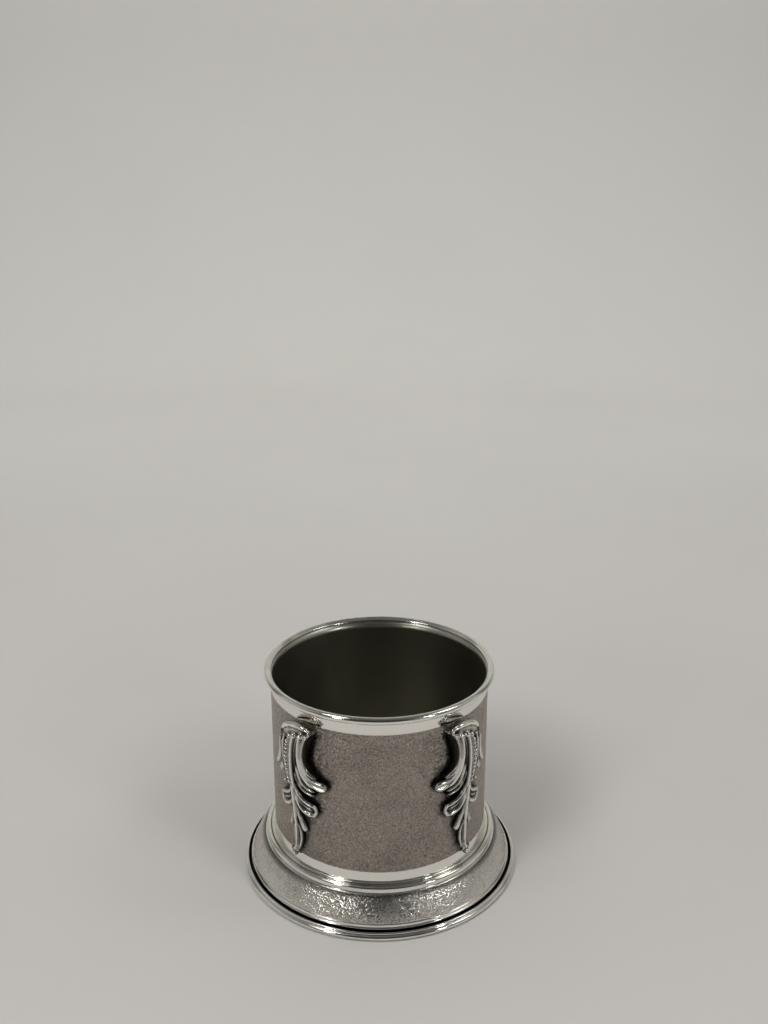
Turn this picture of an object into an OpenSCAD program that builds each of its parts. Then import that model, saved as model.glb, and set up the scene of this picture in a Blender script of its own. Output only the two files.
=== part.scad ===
// Silver bottle coaster: a straight stippled cup on a flared foot, with four cast acanthus leaves.
// Millimetres, Z up. The origin is on the table, on the axis of the cup.

/* [Cup] */
// Outside diameter of the cup wall
cup_d = 100; // [90:1:120]
// Thickness of the wall sheet
wall_t = 0.8; // [0.6:0.1:1.5]
// Height of the wall tube, from the floor to its top edge
wall_h = 79.3; // [76:0.1:110]
// Thickness of the floor that the bottle stands on
floor_t = 1.2; // [0.8:0.1:2.5]

/* [Rim] */
// Diameter of the rim wire
rim_d = 3.3; // [2.8:0.1:4.5]
// Distance of the rim wire's centre outside the wall
rim_out = 1.3; // [1:0.1:1.4]
// Height of the rim wire's centre above the wall's edge
rim_rise = 0.65; // [0.4:0.05:0.9]
// Height of the inner tongue that caps the wall's edge
rim_cap_h = 1.4; // [1:0.1:1.6]
// Distance of the tongue's inner face behind the wall's
rim_cap_in = 0.3; // [0.1:0.05:0.5]

/* [Mouldings] */
// Diameter of the upper bead, a wire round the foot of the wall
upper_bead_d = 1.9; // [1.5:0.1:2.4]
// Height of the ledge that carries the upper bead, above the skirt
ledge_h = 1.6; // [1:0.1:2.5]
// How far the lower bead stands out from the wall
lower_bead_out = 4.3; // [4:0.1:5]
// Height of the lower bead above the skirt
lower_bead_h = 3; // [2.6:0.1:3.4]

/* [Foot] */
// How far the foot ring stands out beyond the wall
foot_out = 15.4; // [14:0.1:22]
// Width of the foot ring
foot_ring_w = 2.3; // [2:0.1:3.5]
// Height of the foot ring's inner collar
foot_ring_h = 3.3; // [3:0.1:3.9]
// Width of the foot ring's inner collar
collar_w = 1; // [0.8:0.1:1.4]
// Diameter of the round along the foot ring's outer edge
foot_bead_d = 2.3; // [2:0.1:2.8]
// Clear height of the foot ring above the table
foot_ring_lift = 0.3; // [0.1:0.1:0.6]
// Width of the dark groove between the lip and the foot ring
groove_w = 1; // [0.6:0.1:2]
// Height of the lip wire at the skirt's lower edge
lip_h = 3.9; // [3.2:0.1:5]
// Width of the lip wire behind its bead
lip_w = 1.4; // [1.2:0.1:2.5]
// Radius of the lip wire's upper edge
lip_round = 0.4; // [0.2:0.1:0.8]
// Diameter of the bead on the lip wire
lip_bead_d = 1.2; // [0.8:0.1:1.6]
// Height of that bead's centre above the closing plate
lip_bead_rise = 2; // [1.2:0.1:2.4]
// Height of the skirt above the lip wire
skirt_h = 10.4; // [8:0.1:14]
// Reach of the skirt's upper corner beyond the wall, before it is rounded
skirt_top_out = 5.1; // [4.8:0.1:6]
// Radius of the skirt's upper corner
skirt_round = 1.5; // [0.6:0.1:2]
// Thickness of the skirt sheet
skirt_t = 1.1; // [0.8:0.1:1.6]
// Width of the skirt's flat shoulder inside the wall
shoulder_in = 4; // [2.5:0.5:8]
// Thickness of the closing plate under the foot
base_t = 1.2; // [0.8:0.1:2]
// Thickness of the baize pad under the closing plate
pad_t = 0.8; // [0.7:0.1:1.5]
// Distance of the baize pad's edge inside the foot ring
pad_inset = 1.5; // [0.5:0.5:6]

/* [Leaves] */
// Angle of each leaf from the front or the back of the cup
leaf_turn = 45; // [30:1:60]
// Height of the bud at a leaf's foot above the floor
leaf_foot = 4.9; // [3.5:0.1:6]
// Clear height from a leaf's head up to the wall's top edge
leaf_gap = 5.3; // [4:0.1:12]
// Width of a leaf across its largest lobes, along the wall
leaf_w = 32; // [28:0.5:38]
// Relief of a leaf at its head
leaf_rise = 7.2; // [5:0.1:8]
// Diameter of one bead on the vein
vein_bead_d = 2.3; // [1.8:0.1:2.8]
// Distance between two beads on the vein
vein_pitch = 3.3; // [2.8:0.1:4.5]

/* [Fits] */
// Solder gap between pieces that seat on a round face
solder_gap = 0.05; // [0.02:0.01:0.1]

/* [Hidden] */
polished = [0.80, 0.79, 0.77];
stippled = [0.55, 0.53, 0.50];
baize = [0.10, 0.12, 0.11];
round_fn = 128;
cup_r = cup_d / 2;
foot_r = cup_r + foot_out;
foot_in_r = foot_r - foot_ring_w;
lip_r = foot_in_r - groove_w;
lip_face_r = lip_r - lip_bead_d / 2;
base_z = pad_t;
lip_z = base_z + base_t;
skirt_z = lip_z + lip_h;
shoulder_z = skirt_z + skirt_h;
ledge_z = shoulder_z + ledge_h;
bead_top_z = ledge_z + upper_bead_d;
// The floor lies just under the top of the upper bead, which hides its edge
edge_cover = 0.1;
floor_z = bead_top_z - edge_cover;
wall_top_z = floor_z + wall_h;
seat_r = cup_r + solder_gap;
skirt_top_r = cup_r + skirt_top_out;
skirt_foot_r = lip_face_r - lip_round;
// The lower bead leaves a channel for the upper one
channel_r = seat_r + upper_bead_d + solder_gap;
lower_bead_r = cup_r + lower_bead_out;

module wall_sleeve() {
    color(stippled)
        translate([0, 0, floor_z])
            difference() {
                cylinder(r = cup_r, h = wall_h, $fn = round_fn);
                translate([0, 0, -1]) cylinder(r = cup_r - wall_t, h = wall_h + 2, $fn = round_fn);
            }
}

module rim_bead() {
    wire_r = cup_r + rim_out;
    cap_r = cup_r - wall_t + rim_cap_in;
    color(polished)
        rotate_extrude($fn = round_fn)
            difference() {
                union() {
                    translate([wire_r, wall_top_z + rim_rise]) circle(rim_d / 2, $fn = round_fn);
                    translate([cap_r, wall_top_z]) square([wire_r - cap_r, rim_cap_h]);
                }
                translate([0, wall_top_z - rim_d]) square([seat_r, rim_d]);
            }
}

// Inverted shallow pan: the disc under the bottle, and a flange that stands on the skirt's shoulder
module floor_pan() {
    color(polished)
        rotate_extrude($fn = round_fn) {
            translate([0, floor_z - floor_t]) square([cup_r, floor_t]);
            translate([cup_r - floor_t, shoulder_z]) square([floor_t, floor_z - shoulder_z]);
        }
}

// Plain wire that lies on the lower bead's ledge, against the wall
module upper_bead() {
    color(polished)
        rotate_extrude($fn = round_fn)
            translate([seat_r + upper_bead_d / 2, ledge_z + upper_bead_d / 2])
                circle(upper_bead_d / 2, $fn = round_fn);
}

// Moulding with a round top, and a ledge behind it
module lower_bead() {
    top_r = (lower_bead_r - channel_r) / 2;
    color(polished)
        rotate_extrude($fn = round_fn)
            union() {
                translate([seat_r, shoulder_z]) square([lower_bead_r - seat_r, ledge_h]);
                translate([channel_r, shoulder_z]) square([2 * top_r, lower_bead_h - top_r]);
                translate([lower_bead_r - top_r, shoulder_z + lower_bead_h - top_r])
                    circle(top_r, $fn = round_fn);
            }
}

// Spun sheet: a straight flare from the lip up to a rounded corner and a flat shoulder under the cup
module foot_skirt() {
    flare = atan((skirt_foot_r - skirt_top_r) / skirt_h);
    flare_in = skirt_t / cos(flare);
    corner = skirt_round * tan((90 - flare) / 2);
    color(stippled)
        rotate_extrude($fn = round_fn)
            union() {
                polygon([
                    [skirt_foot_r, skirt_z],
                    [skirt_top_r + corner * sin(flare), shoulder_z - corner * cos(flare)],
                    [skirt_top_r - corner, shoulder_z],
                    [cup_r - shoulder_in, shoulder_z],
                    [cup_r - shoulder_in, shoulder_z - skirt_t],
                    [skirt_top_r - corner - skirt_t, shoulder_z - skirt_t],
                    [skirt_foot_r - flare_in, skirt_z]
                ]);
                translate([skirt_top_r - corner, shoulder_z - skirt_round])
                    circle(skirt_round, $fn = round_fn);
            }
}

// Upright band with a rounded upper edge and a bead along its foot
module lip_wire() {
    color(polished)
        rotate_extrude($fn = round_fn)
            union() {
                translate([lip_face_r - lip_w, lip_z]) square([lip_w, lip_h - lip_round]);
                translate([lip_face_r - lip_w, lip_z]) square([lip_w - lip_round, lip_h]);
                translate([lip_face_r - lip_round, skirt_z - lip_round]) circle(lip_round, $fn = round_fn);
                translate([lip_face_r, lip_z + lip_bead_rise]) circle(lip_bead_d / 2, $fn = round_fn);
            }
}

// Collar with a round top, and a larger round along the outer edge
module foot_ring() {
    collar_r = collar_w / 2;
    bead_r = foot_bead_d / 2;
    color(polished)
        rotate_extrude($fn = round_fn)
            difference() {
                union() {
                    translate([foot_in_r, foot_ring_lift + bead_r])
                        square([collar_w, foot_ring_h - bead_r - collar_r]);
                    translate([foot_in_r, foot_ring_lift]) square([foot_ring_w - bead_r, bead_r]);
                    translate([foot_in_r + collar_r, foot_ring_lift + foot_ring_h - collar_r])
                        circle(collar_r, $fn = round_fn);
                    translate([foot_r - bead_r, foot_ring_lift + bead_r]) circle(bead_r, $fn = round_fn);
                }
                translate([foot_in_r - foot_bead_d, 0]) square([foot_bead_d, foot_ring_h]);
            }
}

module base_plate() {
    color(polished)
        translate([0, 0, base_z]) cylinder(r = foot_in_r - solder_gap, h = base_t, $fn = round_fn);
}

module baize_pad() {
    color(baize) cylinder(r = foot_in_r - pad_inset, h = pad_t, $fn = round_fn);
}

// A leaf is drawn flat, u across towards its panel and v up from its bud, with a height over the wall
leaf_z = floor_z + leaf_foot;
leaf_len = wall_h - leaf_foot - leaf_gap;
// Shares of the real width, length and relief in one unit of the drawn leaf
across_share = 1 / 32;
up_share = 1 / 69.1;
rise_share = 1 / 7.2;
// Depth by which a lobe is drawn into the wall before it is cut to lie on it
leaf_bite = 0.7;
lobe_steps = 6;
short_steps = 4;
lobe_sides = 5;
knob_fn = 8;
function across(u) = u * leaf_w * across_share;
function up(v) = v * leaf_len * up_share;
function rise(h) = h * leaf_rise * rise_share;
function wrap(u, v, h) =
    let (r = cup_r + h, turn = across(u) / r * 180 / PI)
    [r * sin(turn), -r * cos(turn), leaf_z + up(v)];

// Point and direction at a share t of a curve with four control points
function curve_at(p, t) =
    p[0] * pow(1 - t, 3) + p[1] * 3 * t * pow(1 - t, 2) + p[2] * 3 * t * t * (1 - t) + p[3] * pow(t, 3);
function curve_way(p, t) =
    let (d = (p[1] - p[0]) * pow(1 - t, 2) + (p[2] - p[1]) * 2 * t * (1 - t) + (p[3] - p[2]) * t * t)
    d / norm(d);
function blend(a, b, t) = a + (b - a) * t;

// Half oval section of a lobe at a share t, over its crest from foot to foot, narrowed at its tip
tip_share = 0.45;
function lobe_ring(p, wide, high, foot, side, t) =
    let (
        c = curve_at(p, t),
        way = curve_way(p, t),
        w = blend(wide[0], wide[1], t) * (t == 1 ? tip_share : 1),
        h = rise(blend(high[0], high[1], t)),
        b = blend(rise(foot), -leaf_bite, t)
    )
    [for (i = [0:lobe_sides])
        let (a = 180 * i / lobe_sides, aside = w * cos(a))
        wrap(side * (c[0] + aside * way[1]), c[1] - aside * way[0], b + (h - b) * sin(a))];

// Convex stretch between two sections
module stretch(a, b) {
    points = concat(a, b);
    hull() polyhedron(points = points, faces = [[for (i = [0:len(points) - 1]) i]]);
}

module lobe(p, wide, high, side, foot = 0, steps = lobe_steps) {
    for (k = [0:steps - 1])
        stretch(
            lobe_ring(p, wide, high, foot, side, k / steps),
            lobe_ring(p, wide, high, foot, side, (k + 1) / steps)
        );
}

module knob(u, v, h, r) {
    translate(wrap(u, v, rise(h))) sphere(across(r), $fn = knob_fn);
}

// Tapering roll through knobs, each given as u, v, height and radius
module horn(knobs, side) {
    for (k = [0:len(knobs) - 2])
        hull() {
            knob(side * knobs[k][0], knobs[k][1], knobs[k][2], knobs[k][3]);
            knob(side * knobs[k + 1][0], knobs[k + 1][1], knobs[k + 1][2], knobs[k + 1][3]);
        }
}

// Lobes that both halves share: a fan of two, a small lobe and the calyx over the bud
module lower_lobes(side) {
    lobe([[0.8, 38], [1.8, 31.8], [5, 29.9], [10.2, 28.7]], [1.5, 1.5], [4.6, 2.5], side, 0, short_steps);
    lobe([[0.4, 34], [1.2, 26.6], [4.4, 24], [9.6, 24]], [1.6, 1.9], [4.2, 2.1], side, 0, short_steps);
    lobe([[0.4, 28], [1.4, 21.5], [2.8, 17], [4.9, 14]], [1.2, 1.4], [3.6, 2], side, 0, short_steps);
    lobe([[0.6, 17], [3.4, 14], [4, 7.5], [0.6, 3.2]], [0.9, 0.9], [2.7, 2.2], side, 0, short_steps);
}

// Half towards the panel: three long flutes, the large lobe between them and the one below it
module panel_half(side) {
    lower_lobes(side);
    lobe([[3.4, 63], [-0.4, 55], [-0.9, 44], [0.5, 34.6]], [1.7, 1.2], [6.9, 4.6], side);
    lobe([[7.2, 63.8], [3.4, 56], [1.6, 43.5], [10.6, 39]], [1.7, 1.5], [6.5, 3.4], side);
    lobe([[11.3, 65.4], [6.8, 58.5], [3, 47], [12, 43]], [1.4, 1.6], [5.4, 2.7], side, 1.6);
    lobe([[5.6, 54.5], [4.2, 45], [9.2, 41.6], [17.4, 40.6]], [1.4, 2.4], [4.8, 2.6], side);
    lobe([[1.4, 47], [1.6, 39.5], [4.6, 36], [10.6, 35.6]], [1.5, 2.1], [4.8, 2.3], side, 0, short_steps);
}

// Half away from the panel: it turns back round the wall and droops
module outer_half(side) {
    lower_lobes(side);
    lobe([[3.4, 60], [5.6, 53], [5.2, 45], [2, 36]], [1.5, 1.2], [6, 4.4], side);
    lobe([[6.8, 59], [8, 53], [8.4, 47], [14.4, 41.4]], [1.4, 1.9], [4.8, 2.6], side, 1.4);
    lobe([[5, 57], [6.4, 49], [6.4, 43], [11.6, 38.8]], [1.6, 1.9], [5.2, 2.5], side);
    lobe([[4, 47], [3.8, 40], [5.6, 35.6], [9.8, 34.2]], [1.4, 1.5], [4.7, 2.3], side, 0, short_steps);
}

// Curled head: a roll along its top, from the drooping shoulder to the pointed ear, and a fuller one below
module leaf_head(side) {
    horn([[-7, 57.6, 3.2, 0.7], [-6.2, 61.4, 3.7, 1.4], [-3.4, 65, 4, 1.8], [0.4, 66.8, 4.2, 2],
        [4, 67.3, 4.3, 1.8], [7.6, 67.3, 4.5, 1.3], [10.9, 66.7, 4.6, 0.5]], side);
    horn([[-4.6, 60.2, 3.8, 1.9], [0.6, 64.2, 4.7, 2.2], [4, 65.2, 4.9, 2.1], [10.2, 66.2, 4.7, 0.9]], side);
}

// Bowed vein with its row of beads, the stem below it, and the bud at the foot
module leaf_vein(side) {
    vein = [[0, 62], [-4, 53.5], [-3.8, 43], [-0.7, 33.6]];
    bead_start = 0.05;
    bead_end = 0.82;
    beads = floor(up(vein[0][1] - vein[3][1]) * (bead_end - bead_start) / vein_pitch);
    lobe(vein, [1.3, 1.1], [6.2, 4.4], side);
    for (k = [0:beads])
        let (t = blend(bead_start, bead_end, k / beads), c = curve_at(vein, t))
        knob(side * c[0], c[1], blend(6.4, 4.8, k / beads), vein_bead_d / 2 / across(1));
    lobe([[-0.9, 37], [-0.4, 24], [1, 8], [-2.5, 1]], [1.2, 0.9], [4.8, 2.6], side);
    knob(side * -2.8, 0, 1.7, 1.6);
}

// One casting, cut to lie on the wall. Hand 1 has its panel on its right, and hand -1 on its left
module leaf(turn, hand) {
    color(polished)
        rotate([0, 0, turn])
            difference() {
                union() {
                    panel_half(hand);
                    outer_half(-hand);
                    leaf_head(hand);
                    leaf_vein(hand);
                }
                translate([0, 0, floor_z - 1])
                    rotate([0, 0, 180 / round_fn])
                        cylinder(r = seat_r / cos(180 / round_fn), h = wall_h + 2, $fn = round_fn);
            }
}

module leaf_front_left() { leaf(-leaf_turn, 1); }
module leaf_front_right() { leaf(leaf_turn, -1); }
module leaf_back_right() { leaf(180 - leaf_turn, 1); }
module leaf_back_left() { leaf(180 + leaf_turn, -1); }

wall_sleeve();
rim_bead();
floor_pan();
upper_bead();
lower_bead();
foot_skirt();
lip_wire();
foot_ring();
base_plate();
baize_pad();
leaf_front_left();
leaf_front_right();
leaf_back_right();
leaf_back_left();
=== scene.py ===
import math

import bmesh
import bpy
import numpy as np
from mathutils import Matrix, Vector


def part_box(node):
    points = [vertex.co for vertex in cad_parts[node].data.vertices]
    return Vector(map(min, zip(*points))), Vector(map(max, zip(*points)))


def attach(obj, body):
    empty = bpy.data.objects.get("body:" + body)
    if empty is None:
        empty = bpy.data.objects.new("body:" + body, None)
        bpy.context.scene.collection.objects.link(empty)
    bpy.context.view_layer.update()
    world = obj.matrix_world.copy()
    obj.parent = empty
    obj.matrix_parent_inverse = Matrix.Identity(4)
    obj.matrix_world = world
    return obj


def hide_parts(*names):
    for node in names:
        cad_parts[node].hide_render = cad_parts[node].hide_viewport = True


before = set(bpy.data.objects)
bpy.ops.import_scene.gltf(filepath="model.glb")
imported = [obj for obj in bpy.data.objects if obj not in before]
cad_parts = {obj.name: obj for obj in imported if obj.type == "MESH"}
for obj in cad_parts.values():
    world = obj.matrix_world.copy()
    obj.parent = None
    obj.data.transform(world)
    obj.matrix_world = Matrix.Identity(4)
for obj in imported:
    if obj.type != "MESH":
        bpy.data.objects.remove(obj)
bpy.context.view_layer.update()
scene = bpy.context.scene
mm = 0.001
fullTurn = 2 * math.pi
weldGap = 1e-6  # points closer than this become one
tiny = 1e-12  # keeps a division by a length safe
print("frame loaded:", len(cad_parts), "solids")


# small helpers for node trees: a field does sums with other fields and plain numbers
class Field:
    def __init__(self, tree, socket):
        self.tree, self.socket = tree, socket

    def calc(self, kind, *others):
        node = addNode(self.tree, "ShaderNodeMath", {0: self}, operation=kind)
        for slot, other in zip(node.inputs[1:], others):
            feed(self.tree, slot, other)
        return field(self.tree, node)

    def __add__(self, other):
        return self.calc("ADD", other)

    def __sub__(self, other):
        return self.calc("SUBTRACT", other)

    def __mul__(self, other):
        return self.calc("MULTIPLY", other)

    def __truediv__(self, other):
        return self.calc("DIVIDE", other)

    def inverse(self):
        return field(self.tree, addNode(self.tree, "ShaderNodeMath", {0: 1.0, 1: self}, operation="DIVIDE"))

    # a smooth step from one level to another
    def between(self, low, high, toLow=0.0, toHigh=1.0):
        ends = {"Value": self, "From Min": low, "From Max": high, "To Min": toLow, "To Max": toHigh}
        node = addNode(self.tree, "ShaderNodeMapRange", ends, interpolation_type="SMOOTHSTEP")
        return field(self.tree, node)


def feed(tree, slot, value):
    if isinstance(value, Field):
        tree.links.new(value.socket, slot)
    elif hasattr(value, "is_output"):
        tree.links.new(value, slot)
    elif value is not None:
        slot.default_value = value


def addNode(tree, kind, inputs=None, **settings):
    node = tree.nodes.new(kind)
    for key, value in settings.items():
        setattr(node, key, value)
    for key, value in (inputs or {}).items():
        feed(tree, node.inputs[key], value)
    return node


def field(tree, node, output=0):
    return Field(tree, node.outputs[output])


def splitVector(tree, socket):
    node = addNode(tree, "ShaderNodeSeparateXYZ", {0: socket})
    return [field(tree, node, k) for k in range(3)]


def joinVector(tree, x, y, z):
    return field(tree, addNode(tree, "ShaderNodeCombineXYZ", {0: x, 1: y, 2: z}))


def objectPlace(tree):
    return addNode(tree, "ShaderNodeTexCoord").outputs["Object"]


def readMark(tree, label):
    return field(tree, addNode(tree, "ShaderNodeAttribute", attribute_name=label), "Fac")


def noiseAt(tree, place, scale, detail, roughness=0.5, distortion=0.0):
    return field(tree, addNode(tree, "ShaderNodeTexNoise", {
        "Vector": place, "Scale": scale, "Detail": detail,
        "Roughness": roughness, "Distortion": distortion}))


def cellsAt(tree, place, scale):
    return addNode(tree, "ShaderNodeTexVoronoi", {"Vector": place, "Scale": scale, "Randomness": 1.0})


def mixColors(tree, factor, first, second):
    sides = {"Factor": factor, "A": first, "B": second}
    return field(tree, addNode(tree, "ShaderNodeMix", sides, data_type="RGBA"), "Result")


# inputs and outputs give the kind of socket for every label
def newGroup(name, kind, inputs, outputs):
    tree = bpy.data.node_groups.new(name, kind)
    for side, sockets in (("INPUT", inputs), ("OUTPUT", outputs)):
        for label, socketKind in sockets.items():
            tree.interface.new_socket(label, in_out=side, socket_type="NodeSocket" + socketKind)
    given = tree.nodes.new("NodeGroupInput")
    result = tree.nodes.new("NodeGroupOutput")
    return tree, {s.name: Field(tree, s) for s in given.outputs if s.name}, result


# every geometry tree ends in plain geometry with its finish on it
def endTree(tree, geometry, given, result):
    plain = addNode(tree, "GeometryNodeRealizeInstances", {"Geometry": geometry})
    finish = addNode(tree, "GeometryNodeSetMaterial", {
        "Geometry": plain.outputs[0], "Material": given["Finish"]})
    tree.links.new(finish.outputs[0], result.inputs["Geometry"])


# a flat grid to bend round: its mesh, and for every point the row and the turn
def turnGrid(tree, around, rows):
    grid = addNode(tree, "GeometryNodeMeshGrid", {
        "Size X": 1.0, "Size Y": 1.0, "Vertices X": around + 1, "Vertices Y": rows})
    x, y, _ = splitVector(tree, addNode(tree, "GeometryNodeInputPosition").outputs[0])
    return grid.outputs["Mesh"], ((y + 0.5) * (rows - 1)).calc("ROUND"), (x + 0.5) * fullTurn


# moves the points of a grid to their places and closes the seam
def setPoints(tree, grid, place, offset=None):
    moved = addNode(tree, "GeometryNodeSetPosition", {"Geometry": grid, "Position": place, "Offset": offset})
    closed = addNode(tree, "GeometryNodeMergeByDistance", {
        "Geometry": moved.outputs[0], "Distance": weldGap})
    return closed.outputs[0]


def addObject(name, data):
    thing = bpy.data.objects.new(name, data)
    scene.collection.objects.link(thing)
    return thing


def newMeshObject(name, verts, faces=()):
    mesh = bpy.data.meshes.new(name)
    mesh.from_pydata(verts, [], faces)
    return addObject(name, mesh)


# the piece's mesh as its modifiers leave it
def plainMesh(piece):
    bpy.context.view_layer.update()
    depsgraph = bpy.context.evaluated_depsgraph_get()
    return bpy.data.meshes.new_from_object(piece.evaluated_get(depsgraph), depsgraph=depsgraph)


# runs a geometry tree on an empty mesh with named inputs and keeps the plain mesh
def runTree(name, tree, values):
    piece = newMeshObject(name, [])
    modifier = piece.modifiers.new(tree.name, "NODES")
    modifier.node_group = tree
    items = [item for item in tree.interface.items_tree if item.item_type == "SOCKET"]
    sockets = {item.name: item.identifier for item in items if item.in_out == "INPUT"}
    for label, value in values.items():
        modifier[sockets[label]] = value
    mesh = plainMesh(piece)
    piece.modifiers.remove(modifier)
    piece.data = mesh
    mesh.name = name
    return piece


def closeMesh(piece):
    work = bmesh.new()
    work.from_mesh(piece.data)
    bmesh.ops.remove_doubles(work, verts=work.verts, dist=weldGap)
    bmesh.ops.dissolve_degenerate(work, edges=work.edges, dist=weldGap)
    bmesh.ops.recalc_face_normals(work, faces=work.faces)
    work.to_mesh(piece.data)
    work.free()
    piece.data.polygons.foreach_set("use_smooth", [True] * len(piece.data.polygons))
    piece.data.update()


def readPoints(mesh, what="co"):
    values = np.zeros(len(mesh.vertices) * 3)
    mesh.vertices.foreach_get(what, values)
    return values.reshape(-1, 3)


def markPoints(mesh, label, values):
    mesh.attributes.new(label, "FLOAT", "POINT").data.foreach_set("value", values)


def smoothShare(share):
    share = np.clip(share, 0, 1)
    return share * share * (3 - 2 * share)


# faint wiping marks that run round the piece, and broad cloudy smears
wiping = {
    "along": 6.0, "across": 9000.0, "lineNoise": (1.0, 3.0, 0.6), "lines": (0.5, 0.78),
    "cloudNoise": (4.0, 0.55), "clouds": (0.35, 0.7),
}


def makeWipeMarks():
    tree, given, result = newGroup(
        "wipeMarks", "ShaderNodeTree", {"Cloud Size": "Float"}, {"Scratch": "Float", "Cloud": "Float"})
    place = objectPlace(tree)
    x, y, z = splitVector(tree, place)
    around = x.calc("ARCTAN2", y)
    radius = (x * x + y * y).calc("SQRT")
    lineAt = joinVector(tree, around * wiping["along"], z * wiping["across"], radius * wiping["across"])
    lines = noiseAt(tree, lineAt, *wiping["lineNoise"])
    clouds = noiseAt(tree, place, given["Cloud Size"].inverse(), *wiping["cloudNoise"])
    feed(tree, result.inputs["Scratch"], lines.between(*wiping["lines"]))
    feed(tree, result.inputs["Cloud"], clouds.between(*wiping["clouds"]))
    return tree


# dull film that gathers in patches, as on silver that is seldom polished, plus painted shade brought in as
# the hollow input
tarnishing = {"noise": (5.0, 0.6), "patches": (0.42, 0.75)}


def makeTarnish():
    tree, given, result = newGroup(
        "tarnishAndShade", "ShaderNodeTree",
        {"Patch Size": "Float", "Amount": "Float", "Hollow": "Float", "Clean": "Color", "Dull": "Color"},
        {"Color": "Color", "FilmAndShade": "Float"})
    patches = noiseAt(tree, objectPlace(tree), given["Patch Size"].inverse(), *tarnishing["noise"])
    film = patches.between(*tarnishing["patches"]) * given["Amount"] + given["Hollow"]
    film = film.calc("MINIMUM", 1.0)
    feed(tree, result.inputs["Color"], mixColors(tree, film, given["Clean"], given["Dull"]))
    feed(tree, result.inputs["FilmAndShade"], film)
    return tree


# tiny punched pits between the larger grains
finePunch = {
    "dents": (0.0, 0.8), "roughScale": 0.8, "roughNoise": (3.0, 0.65), "rough": (0.25, 0.75), "share": 0.5,
    "pits": (0.2, 0.75), "shiny": (0.66, 0.74),
}


def makePunchedGrain():
    tree, given, result = newGroup(
        "punchedGrain", "ShaderNodeTree", {"Grain": "Float", "Facet": "Float"},
        {"Height": "Float", "Pit": "Float", "Tilt": "Vector", "Shine": "Float"})
    place = objectPlace(tree)
    scale = given["Grain"].inverse()
    dents = field(tree, cellsAt(tree, place, scale), "Distance").between(*finePunch["dents"])
    rough = noiseAt(tree, place, scale * finePunch["roughScale"], *finePunch["roughNoise"])
    height = dents * finePunch["share"] + rough.between(*finePunch["rough"]) * finePunch["share"]
    # every struck mark leaves a small facet that leans its own way
    facets = cellsAt(tree, place, given["Facet"].inverse()).outputs["Color"]
    lean = addNode(tree, "ShaderNodeVectorMath", {0: facets, 1: (0.5, 0.5, 0.5)}, operation="SUBTRACT")
    chance = addNode(tree, "ShaderNodeTexWhiteNoise", {"Vector": facets}, noise_dimensions="3D")
    feed(tree, result.inputs["Height"], height)
    # painted shade: the pit mask makes the punched pits darker
    feed(tree, result.inputs["Pit"], height.between(*finePunch["pits"], 1.0, 0.0))
    feed(tree, result.inputs["Tilt"], lean.outputs[0])
    feed(tree, result.inputs["Shine"], field(tree, chance).between(*finePunch["shiny"]))
    return tree


wipeMarks = makeWipeMarks()
tarnishAndShade = makeTarnish()
punchedGrain = makePunchedGrain()


def newMaterial(name):
    material = bpy.data.materials.new(name)
    material.use_nodes = True
    tree = material.node_tree
    shader = next(n for n in tree.nodes if n.type == "BSDF_PRINCIPLED")
    return material, tree, shader


def placeGroup(tree, group, **values):
    node = tree.nodes.new("ShaderNodeGroup")
    node.node_tree = group
    for label, value in values.items():
        feed(tree, node.inputs[label.replace("_", " ")], value)
    return node


def addBump(tree, shader, height, strength, depth, normal=None):
    bump = addNode(tree, "ShaderNodeBump", {
        "Height": height, "Strength": strength, "Distance": depth, "Normal": normal})
    tree.links.new(bump.outputs[0], shader.inputs["Normal"])


polished = {
    "clean": (0.90, 0.895, 0.845, 1), "dull": (0.46, 0.43, 0.37, 1),
    "gloss": 0.07, "smear": 0.10, "scratch": 0.05, "cloudSize": 0.018,
    "filmSize": 0.012, "film": 0.16, "filmMatt": 0.25, "scratchDepth": 2e-6, "scratchBump": 0.25,
}


# the named attribute, where there is one, marks grooves and hollows painted dark: painted shade, on the
# leaves with patina
def makePolishedSilver(name, shadeName, setup):
    material, tree, shader = newMaterial(name)
    shader.inputs["Metallic"].default_value = 1.0
    film = placeGroup(
        tree, tarnishAndShade, Patch_Size=setup["filmSize"], Amount=setup["film"],
        Hollow=readMark(tree, shadeName) if shadeName else 0.0, Clean=setup["clean"], Dull=setup["dull"])
    marks = placeGroup(tree, wipeMarks, Cloud_Size=setup["cloudSize"])
    scratch = field(tree, marks, "Scratch")
    rough = field(tree, marks, "Cloud") * setup["smear"] + scratch * setup["scratch"]
    rough = rough + field(tree, film, "FilmAndShade") * setup["filmMatt"] + setup["gloss"]
    feed(tree, shader.inputs["Base Color"], field(tree, film, "Color"))
    feed(tree, shader.inputs["Roughness"], rough)
    addBump(tree, shader, scratch, setup["scratchBump"], setup["scratchDepth"])
    return material


# the patina colour is near black: painted shadow with patina, beside the leaves and under the beads
stippled = {
    "bright": (0.56, 0.508, 0.457, 1), "dark": (0.13, 0.112, 0.095, 1), "patinaAndShade": (0.012, 0.011, 0.010, 1),
    "matt": 0.37, "mattSmear": 0.06, "shine": 0.0, "cloud": 0.15, "cloudSize": 0.02,
    "grain": 0.00042, "grainDepth": 0.00006, "pit": 0.7, "low": 0.2, "lowAt": (0.25, 0.8),
    "facet": 0.00052, "lean": 1.0,
    "bandClean": (0.90, 0.895, 0.845, 1), "gloss": 0.08, "smear": 0.1, "scratch": 0.05,
    "inside": (0.46, 0.45, 0.39, 1), "insideMatt": 0.2, "insideFrom": 0.0494, "insideTo": 0.0496,
}


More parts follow.
